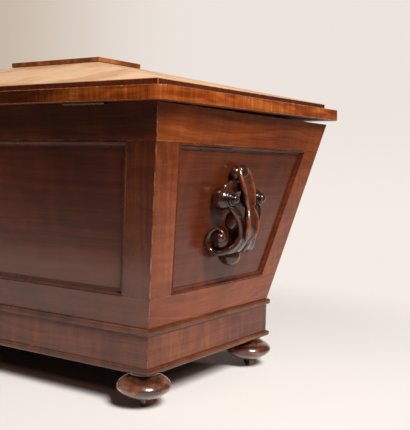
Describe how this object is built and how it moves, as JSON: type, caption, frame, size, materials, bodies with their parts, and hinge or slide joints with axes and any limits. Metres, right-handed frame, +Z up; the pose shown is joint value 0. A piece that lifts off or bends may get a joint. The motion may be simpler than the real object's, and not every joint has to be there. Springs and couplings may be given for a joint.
{
  "type": "cellarette",
  "caption": "Tapering wooden wine cooler with panelled sides, a hinged hipped lid, carved end handles, a lined inside and bun feet on castors.",
  "frame": {"origin": "on the floor under the middle of the lid", "axes": "+X along the length, +Y towards the hinged back, +Z up"},
  "size_m": [0.729, 0.5002, 0.4917],
  "materials": {
    "frame_wood": "french polished, satin gloss",
    "panel_wood": "french polished veneer",
    "moulding_wood": "french polished",
    "plinth_wood": "french polished veneer",
    "turned_wood": "dark french polish",
    "carved_wood": "dark french polish",
    "lid_wood": "glossy french polish",
    "crown_wood": "glossy french polish",
    "brass": "aged, dull",
    "lining_metal": "dull grey sheet",
    "iron": "dark, oiled"
  },
  "bodies": {
    "case": {"back_top_rail": "frame_wood", "back_bottom_rail": "frame_wood", "back_left_stile": "frame_wood", "back_right_stile": "frame_wood", "back_panel": "panel_wood", "back_panel_moulding": "moulding_wood", "front_top_rail": "frame_wood", "front_bottom_rail": "frame_wood", "front_left_stile": "frame_wood", "front_right_stile": "frame_wood", "front_panel": "panel_wood", "front_panel_moulding": "moulding_wood", "left_top_rail": "frame_wood", "left_bottom_rail": "frame_wood", "left_left_stile": "frame_wood", "left_right_stile": "frame_wood", "left_panel": "panel_wood", "left_panel_moulding": "moulding_wood", "right_top_rail": "frame_wood", "right_bottom_rail": "frame_wood", "right_left_stile": "frame_wood", "right_right_stile": "frame_wood", "right_panel": "panel_wood", "right_panel_moulding": "moulding_wood", "case_floor": "plinth_wood", "plinth_frieze": "plinth_wood", "plinth_base": "plinth_wood", "back_left_foot": "turned_wood", "back_right_foot": "turned_wood", "front_left_foot": "turned_wood", "front_right_foot": "turned_wood", "liner": "lining_metal", "bottle_crate": "panel_wood", "lock_case": "brass", "key_escutcheon": "brass", "left_hinge_case_leaf": "brass", "left_hinge_pin": "brass", "right_hinge_case_leaf": "brass", "right_hinge_pin": "brass", "left_handle": "carved_wood", "right_handle": "carved_wood"},
    "lid": {"lid_slab": "lid_wood", "lid_crown": "crown_wood", "lid_tablet": "lid_wood", "lock_strike": "brass", "left_hinge_lid_leaf": "brass", "right_hinge_lid_leaf": "brass"},
    "back_left_castor": {"back_left_castor_horn": "brass", "back_left_castor_axle": "brass"},
    "back_left_wheel": {"back_left_castor_wheel": "brass"},
    "back_right_castor": {"back_right_castor_horn": "brass", "back_right_castor_axle": "brass"},
    "back_right_wheel": {"back_right_castor_wheel": "brass"},
    "front_left_castor": {"front_left_castor_horn": "brass", "front_left_castor_axle": "brass"},
    "front_left_wheel": {"front_left_castor_wheel": "brass"},
    "front_right_castor": {"front_right_castor_horn": "brass", "front_right_castor_axle": "brass"},
    "front_right_wheel": {"front_right_castor_wheel": "brass"},
    "lock_bolt": {"lock_bolt": "iron"}
  },
  "joints": [
    {"name": "lid_hinge", "type": "hinge", "parent": "case", "child": "lid", "pos_m": [0, 0.2369, 0.4016], "axis": [-1, 0, 0], "range_deg": [0, 115]},
    {"name": "back_left_swivel", "type": "hinge", "parent": "case", "child": "back_left_castor", "pos_m": [-0.2623, 0.1388, 0.02], "axis": [0, 0, 1], "continuous": true},
    {"name": "back_left_wheel_spin", "type": "hinge", "parent": "back_left_castor", "child": "back_left_wheel", "pos_m": [-0.26103, 0.13608, 0.00932], "axis": [-0.9063, -0.4226, 0], "continuous": true},
    {"name": "back_right_swivel", "type": "hinge", "parent": "case", "child": "back_right_castor", "pos_m": [0.2623, 0.1388, 0.02], "axis": [0, 0, 1], "continuous": true},
    {"name": "back_right_wheel_spin", "type": "hinge", "parent": "back_right_castor", "child": "back_right_wheel", "pos_m": [0.2608, 0.1362, 0.00932], "axis": [-0.866, 0.5, 0], "continuous": true},
    {"name": "front_left_swivel", "type": "hinge", "parent": "case", "child": "front_left_castor", "pos_m": [-0.2623, -0.1388, 0.02], "axis": [0, 0, 1], "continuous": true},
    {"name": "front_left_wheel_spin", "type": "hinge", "parent": "front_left_castor", "child": "front_left_wheel", "pos_m": [-0.26502, -0.13753, 0.00932], "axis": [0.4226, 0.9063, 0], "continuous": true},
    {"name": "front_right_swivel", "type": "hinge", "parent": "case", "child": "front_right_castor", "pos_m": [0.2623, -0.1388, 0.02], "axis": [0, 0, 1], "continuous": true},
    {"name": "front_right_wheel_spin", "type": "hinge", "parent": "front_right_castor", "child": "front_right_wheel", "pos_m": [0.26423, -0.1365, 0.00932], "axis": [0.766, -0.6428, 0], "continuous": true},
    {"name": "bolt_slide", "type": "slide", "parent": "case", "child": "lock_bolt", "axis": [-1, 0, 0], "range_m": [0, 0.005]}
  ]
}
